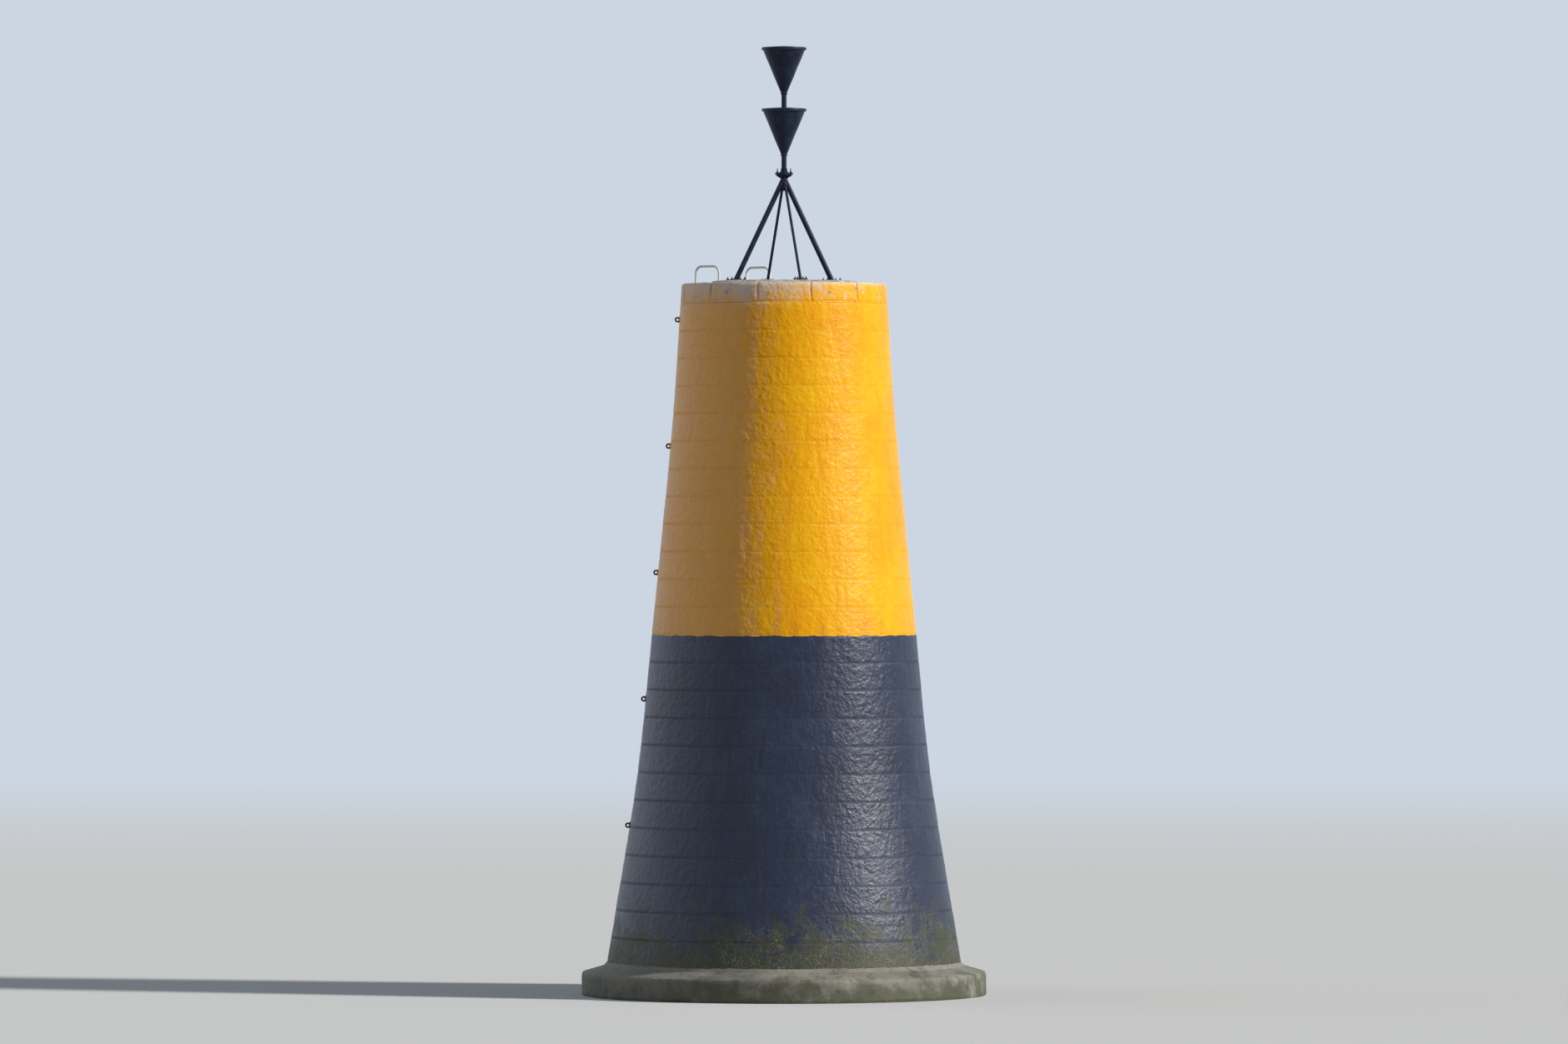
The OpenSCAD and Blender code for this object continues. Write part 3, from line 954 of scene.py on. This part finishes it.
ANCHOR = 0.016
ANCHOR_STICK = 0.018
PLATE_EDGE = 0.0025
GROUT = 0.022
GROUT_H = 0.024
GROUT_PROUD = 0.005
GROUT_WEAR = 0.01
MORTAR = ((0.3, rgb(120, 116, 104)), (0.7, rgb(178, 173, 158)))
MORTAR_STAIN = rgb(92, 94, 74)
# The mark's black is its own dark paint tinted navy, a painted reflection of sky
MARK_BLACKS = (rgb(8, 19, 41), rgb(16, 29, 53), rgb(30, 45, 70))
TURNS = {"right": 0, "back": 1, "left": 2, "front": 3}


def at(spot=(0, 0, 0), turn=0.0):
    """A place at a spot, turned about Z."""
    return Matrix.Translation(spot) @ Matrix.Rotation(turn, 4, "Z")


def fixing(size, stick):
    """A hexagon nut on a washer, with that much of its stud standing out along +Z,
    all in proportion to the stud's size."""
    washer_h, nut_h, nut_r = 0.2 * size, 0.85 * size, 0.92 * size
    washer = turned([
        (0, 0), (1.1 * size, 0), (1.1 * size, 0.14 * size), (1.02 * size, washer_h), (0, washer_h),
    ], 24)
    nut = bmesh.new()
    bmesh.ops.create_cone(nut, cap_ends=True, segments=6, radius1=nut_r, radius2=nut_r, depth=nut_h)
    rims = [e for e in nut.edges if abs(e.verts[0].co.z - e.verts[1].co.z) < 1e-6]
    ease(nut, rims, 0.09 * size, segments=2)
    pitch = 0.16 * size
    ridges = math.floor((nut_h + stick) / pitch)
    thread = [(0, 0)]
    for i in range(ridges):
        thread += [(0.5 * size, (i + 0.3) * pitch), (0.43 * size, (i + 0.8) * pitch)]
    thread += [(0.36 * size, ridges * pitch), (0, ridges * pitch)]
    nut_place, stud_place = at((0, 0, washer_h + nut_h / 2)), at((0, 0, washer_h))
    return gather(washer, (nut, [nut_place]), (turned(thread, 16), [stud_place]))


def rounded_copy(node, radius):
    """The node's own solid with its triangles joined into faces, its edges rounded."""
    bm = bmesh.new()
    bm.from_mesh(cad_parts[node].data)
    bmesh.ops.remove_doubles(bm, verts=bm.verts, dist=1e-5)
    bmesh.ops.dissolve_limit(bm, angle_limit=math.radians(1), verts=bm.verts, edges=bm.edges)
    ease(bm, sharp_edges(bm, 30), radius, segments=3)
    face_out(bm)
    return bm


def bead(path, size, steps=72, ripples=36):
    """A weld bead along a closed path(angle), rippled where each pass was laid."""
    bm = turned([(1 + math.cos(a) * 0.5, math.sin(a) * 0.5) for a in (TAU * i / 8 for i in range(9))], steps)
    middle = sum((path(TAU * i / 16) for i in range(16)), Vector()) / 16
    for v in bm.verts:
        angle = math.atan2(v.co.y, v.co.x)
        spot = path(angle)
        ahead = (path(angle + 0.02) - path(angle - 0.02)).normalized()
        out = spot - middle
        out = (out - out.dot(ahead) * ahead).normalized()
        swell = size * (1 + 0.16 * math.sin(ripples * angle))
        v.co = spot + swell * 2 * ((v.co.xy.length - 1) * out + v.co.z * out.cross(ahead))
    face_out(bm)
    return bm


def mortar_paint(point):
    """Sandy mortar with stains."""
    sand = point.noise(120, 3, 0.7)
    return {
        "Base Color": sand.ramp(*MORTAR).tint(point.noise(5, 5).over(0.5, 0.7) * 0.5, MORTAR_STAIN),
        "Roughness": 0.88,
        "Normal": point.bump(sand, metres=0.003),
    }


mark_iron = finish("mark_paint", iron_paint(MARK_BLACKS, 0.66))
grout = finish("bedding_grout", mortar_paint)
foot_middle = {side: sum(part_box("foot_" + side), Vector()) / 2 for side in TURNS}
FOOT_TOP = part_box("foot_right")[1].z
frame_turn = math.atan2(foot_middle["right"].y, foot_middle["right"].x)
anchors, pads = [], []
for side, quarter in TURNS.items():
    node = "foot_" + side
    turn = at(turn=frame_turn + quarter * QUARTER)
    bm = rounded_copy(node, PLATE_EDGE)
    square = max((turn.inverted() @ v.co).y for v in bm.verts)
    weather(bm, depth=0.0012, size=0.05)
    piece("foot_plate_" + side, bm, mark_iron, "mark_paint", node)
    spot = Vector((*foot_middle[side].xy, deck_high.z))
    for x in (-1, 1):
        for y in (-1, 1):
            corner = spot + turn @ Vector((x, y, 0)) * (square - 2.1 * ANCHOR)
            anchors.append(at((*corner.xy, FOOT_TOP), chance.uniform(0, TAU)))
    pad = worn_block((square + GROUT, square + GROUT, GROUT_H / 2), (13, 13, 3), GROUT_WEAR)
    pads.append((pad, [at(spot + Vector((0, 0, GROUT_PROUD - GROUT_H / 2))) @ turn]))
bm = gather(*pads)
weather(bm, depth=0.012, size=0.05, spare=lambda p: p.z < deck_high.z - 0.006)
piece("grout_beds", bm, grout, "deck_concrete")
piece("anchor_bolts", gather((fixing(ANCHOR, ANCHOR_STICK), anchors)), mark_iron, "mark_paint")

# The frame is two thick legs and two thin stays, all of steel tube, welded to
# their plates at the foot and to the hub's sleeve at the head.

LEG_R = 0.038
STAY_R = 0.021
FLANGE_T = 0.018
FLANGE_LIFT = 0.042
SLEEVE_R = 0.0449
MITRE = 0.3

flange_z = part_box("hub")[1].z - FLANGE_T
meet = Vector((0, 0, flange_z - FLANGE_LIFT))


def frame_tube(side, radius):
    """One tube of the frame from its plate up to the hub, with both weld beads."""
    foot = Vector((*foot_middle[side].xy, FOOT_TOP))
    length = (meet - foot).length
    up = (meet - foot) / length
    radial = Vector((foot.x, foot.y, 0)).normalized()
    across = up.cross(radial).normalized()
    outer = across.cross(up)
    bm = turned([(0, 0), (radius, 0), (radius, length), (0, length)], 32, step=0.03)
    bmesh.ops.transform(bm, matrix=stand(foot, up, across), verts=bm.verts)
    # The foot is cut level, and the rings above it straighten over the mitre's length
    for v in bm.verts:
        along = (v.co - foot).dot(up)
        off_axis = v.co - foot - along * up
        v.co -= up * off_axis.z / up.z * max(0, 1 - along / MITRE)

    def foot_seam(angle):
        """Round the tube where it stands on its plate."""
        return foot + radius * (radial / up.z * math.cos(angle) + across * math.sin(angle))

    def head_seam(angle):
        """Where the tube's side at this angle meets the sleeve."""
        start = meet + radius * (outer * math.cos(angle) + across * math.sin(angle))
        a, b, c = up.xy.dot(up.xy), start.xy.dot(up.xy), start.xy.dot(start.xy) - SLEEVE_R ** 2
        return start - up * (b + math.sqrt(b * b - a * c)) / a

    bm = gather(bm, bead(foot_seam, size=0.006), bead(head_seam, size=0.005))
    weather(bm, depth=0.0008, size=0.04)
    return bm


for side, quarter in TURNS.items():
    kind, radius = ("leg", LEG_R) if quarter % 2 == 0 else ("stay", STAY_R)
    node = f"{kind}_{side}"
    piece(node + "_tube", frame_tube(side, radius), mark_iron, "mark_paint", node, crease=50)

# The hub is a sleeve under a flange, with four gussets between the tubes. Long
# studs through its flange and the mast's stand up as ears on either side.

FLANGE_R = 0.13
FLANGE_EDGE = 0.003
GUSSET_T = 0.012
GUSSET_H = 0.05
GUSSET_EDGE = 0.0015
SLEEVE_EDGE = 0.004
STUD = 0.016
STUD_RING = 0.104
STUDS = 8
STUD_ABOVE = 0.042
STUD_BELOW = 0.006

sleeve_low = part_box("hub")[0].z


def gusset():
    """A gusset in the plane of X and Z under the flange, from the sleeve outwards."""
    bm = bmesh.new()
    inner, reach = SLEEVE_R / 2, FLANGE_R - GUSSET_T
    corners = [
        (inner, 0), (inner, -GUSSET_H), (SLEEVE_R + GUSSET_T, -GUSSET_H), (reach, -GUSSET_T), (reach, 0),
    ]
    bm.faces.new([bm.verts.new((x, -GUSSET_T / 2, z)) for x, z in corners])
    thicken(bm, (0, GUSSET_T, 0))
    ease(bm, bm.edges[:], GUSSET_EDGE, segments=2)
    return bm


def ring_path(radius, z):
    """The path(angle) of a level ring about the axis."""
    return lambda angle: Vector((radius * math.cos(angle), radius * math.sin(angle), z))


def flange(z):
    """A round plate with eased edges whose underside is at z."""
    inner, top = FLANGE_R - FLANGE_EDGE, z + FLANGE_T
    rim = [(FLANGE_R, z + FLANGE_EDGE), (FLANGE_R, top - FLANGE_EDGE)]
    return turned([(0, z), (inner, z), *rim, (inner, top), (0, top)], 64)


sleeve_top = flange_z + 0.005
sleeve = turned([
    (0, sleeve_low), (SLEEVE_R - SLEEVE_EDGE, sleeve_low), (SLEEVE_R, sleeve_low + SLEEVE_EDGE),
    (SLEEVE_R, sleeve_top), (0, sleeve_top),
], 48)
gusset_places = [at((0, 0, flange_z), frame_turn + (i + 0.5) * QUARTER) for i in range(4)]
seam = bead(ring_path(SLEEVE_R, flange_z), size=0.006)
bm = gather(flange(flange_z), sleeve, (gusset(), gusset_places), seam)
weather(bm, depth=0.0008, size=0.05)
piece("hub_flange", bm, mark_iron, "mark_paint", "hub")

tops, unders = [], []
for i in range(STUDS):
    spot = ring_path(STUD_RING, flange_z)((i + 0.5) * TAU / STUDS)
    tops.append(at(spot + Vector((0, 0, 2 * FLANGE_T)), chance.uniform(0, TAU)))
    unders.append(at(spot) @ Matrix.Rotation(math.pi, 4, "X"))
bm = gather((fixing(STUD, STUD_ABOVE), tops), (fixing(STUD, STUD_BELOW), unders))
piece("flange_studs", bm, mark_iron, "mark_paint")

# The mast is one steel tube welded to a flange. It runs up through the lower
# cone and carries the lid of the upper one on its head.

MAST_R = 0.038

mast_low, mast_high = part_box("mast")
tube_low = mast_low.z + HAIR
tube = [(0, tube_low), (MAST_R, tube_low), (MAST_R, mast_high.z), (0, mast_high.z)]
seam = bead(ring_path(MAST_R, mast_low.z + FLANGE_T), size=0.007)
bm = gather(flange(mast_low.z), turned(tube, 40, step=0.05), seam)
weather(bm, depth=0.0008, size=0.06)
piece("mast_tube", bm, mark_iron, "mark_paint", "mast", crease=50)

# Each cone is steel sheet rolled to a point that is cut off at a collar round the
# mast, closed by a lapped seam with rivets. A lid is riveted over its open top.

CONE_R = 0.325
SHEET = 0.006
COLLAR_H = 0.034
COLLAR_R = 0.0473
COLLAR_EDGE = 0.003
COLLAR_CAP = 0.007
DENT = 0.006
LID_EDGE = 0.038
LID_FLAT_R = 0.065
LAP_W = 0.046
LAP_T = 0.004
RIVET = 0.007
RIVET_H = 0.00385
FIT = 0.0003
SEAM_RIVETS = 12
LID_RIVETS = 24
# Where each cone's seam is turned to, and the hole in its lid for the mast
CONES = {"lower": (4.1, MAST_R + FIT), "upper": (0.9, 0)}


def rivet():
    """A low domed head that stands along +Z."""
    angles = (QUARTER * i / 4 for i in range(5))
    dome = [(RIVET * math.sin(a), RIVET_H * math.cos(a)) for a in angles]
    return turned([*dome, (RIVET, -HAIR), (0, -HAIR)], 12)


def cone_of(node, seam):
    """The rolled sheet on its collar, with a lap and its rivets down the seam."""
    low, top = (corner.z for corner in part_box(node))
    bore, rim, neck = MAST_R + FIT, CONE_R - SHEET - FIT, low + COLLAR_H
    bm = turned([
        (bore, low), (COLLAR_R - COLLAR_EDGE, low), (COLLAR_R, low + COLLAR_EDGE), (COLLAR_R, neck),
        (rim, top), (rim - SHEET, top), (bore, neck - COLLAR_CAP), (bore, low),
    ], 120, step=0.03)
    for v in bm.verts:
        share = (v.co.z - low) / (top - low)
        dent = noise.noise(v.co * 5) * DENT * math.sin(math.pi * max(0, min(1, share * 1.1 - 0.05)))
        v.co.xy *= 1 + dent / max(0.05, v.co.xy.length)
    start, slope = Vector((COLLAR_R, 0, neck)), Vector((rim - COLLAR_R, 0, top - low - COLLAR_H))
    length = slope.length
    along = slope / length
    out = Vector((along.z, 0, -along.x))
    lap = worn_block((length * 0.48, LAP_W / 2, LAP_T / 2), (30, 7, 1), LAP_T / 2)
    for v in lap.verts:
        spot = start + along * (length / 2 + v.co.x) + out * (v.co.z + LAP_T * 0.3)
        v.co = Matrix.Rotation(v.co.y / spot.x, 3, "Z") @ spot
    face_out(lap)
    turn = at(turn=seam)
    places = []
    for i in range(SEAM_RIVETS):
        spot = start + along * length * (i + 1) / (SEAM_RIVETS + 1) + out * LAP_T * 0.8
        places.append(turn @ stand(spot, out, along))
    return gather(bm, (lap, [turn]), (rivet(), places))


def lid_of(node, seam, hole):
    """The lid with its rivets, its edge turned down over the cone's rim."""
    low, high = (corner.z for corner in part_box(node))
    rim, inner, under = low + LID_EDGE, CONE_R - SHEET, high - SHEET
    lid = turned([
        (hole, under), (LID_FLAT_R, under), (inner - SHEET, rim - SHEET), (inner, rim - 2 * SHEET),
        (inner, low), (CONE_R, low), (CONE_R, rim - SHEET), (CONE_R - 0.002, rim - 0.002),
        (inner, rim), (LID_FLAT_R, high), (hole, high), *([(hole, under)] if hole else []),
    ], 120, step=0.03)
    side = stand((CONE_R, 0, low + LID_EDGE * 0.45), (1, 0, 0), (0, 0, 1))
    places = [at(turn=seam + i * TAU / LID_RIVETS) @ side for i in range(LID_RIVETS)]
    return gather(lid, (rivet(), places))


for name, (seam, hole) in CONES.items():
    cone, lid = "cone_" + name, "lid_" + name
    piece(cone + "_sheet", cone_of(cone, seam), mark_iron, "mark_paint", cone, crease=45)
    piece(lid + "_sheet", lid_of(lid, seam, hole), mark_iron, "mark_paint", lid, crease=45)

# The grab hoops at the ladder's head are bent tube, welded to round plates that
# are bolted down to the deck and to the coping. Zinc has kept them pale.

HOOP_R = 0.018
HOOP_H = 0.262
HOOP_L = 0.48
HOOP_BEND = 0.11
ROSETTE_R = 0.042
ROSETTE_T = 0.008
ROSETTE_EDGE = 0.002
BOLT = 0.007
BOLT_STICK = 0.002
ZINC = ((0.3, rgb(206, 208, 205)), (0.6, rgb(226, 227, 224)), (0.78, rgb(234, 234, 230)))
ZINC_RUST = rgb(140, 92, 56)


def zinc_paint(point):
    """Weathered zinc, gone pale and chalky."""
    cloud = point.noise(11, 5, 0.65)
    flecks = point.noise(48, 4, 0.7)
    rust = point.noise(20, 6, 0.72, shift=6.0).over(0.64, 0.7)
    return {
        "Base Color": (cloud * 0.7 + flecks * 0.3).ramp(*ZINC).tint(rust * 0.6, ZINC_RUST),
        "Roughness": 0.5 + cloud * 0.2,
        "Normal": point.bump(flecks, metres=0.0015),
    }


def rosette():
    """A hoop's round plate, on the XY plane, with four small bolts."""
    plate = turned([
        (0, 0), (ROSETTE_R, 0), (ROSETTE_R, ROSETTE_T - ROSETTE_EDGE),
        (ROSETTE_R - ROSETTE_EDGE, ROSETTE_T), (0, ROSETTE_T),
    ], 40, step=0.01)
    ring = ring_path((HOOP_R + ROSETTE_R) / 2 + 0.001, ROSETTE_T)
    places = [at(ring(i * QUARTER)) for i in range(4)]
    seam = bead(ring_path(HOOP_R, ROSETTE_T), size=0.004)
    return gather(plate, (fixing(BOLT, BOLT_STICK), places), seam)


zinc = finish("pale_zinc", zinc_paint)
for name in ("right", "left"):
    node = "hoop_" + name
    middle = sum(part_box(node), Vector()) / 2
    outer = Vector((*middle.xy, tower_top)) + outwards * HOOP_L / 2
    inner = Vector((*middle.xy, deck_high.z)) - outwards * HOOP_L / 2
    straight = HOOP_H - HOOP_BEND
    bar = bent_bar(HOOP_R, [
        straight, (QUARTER, HOOP_BEND), HOOP_L - 2 * HOOP_BEND, (QUARTER, HOOP_BEND),
        straight - (inner.z - outer.z),
    ])
    bm = gather((bar, [stand(outer, (0, 0, 1), -outwards)]), (rosette(), [at(outer), at(inner)]))
    weather(bm, depth=0.001, size=0.03)
    piece(node + "_tube", bm, zinc, "hoop_zinc", node, crease=45)
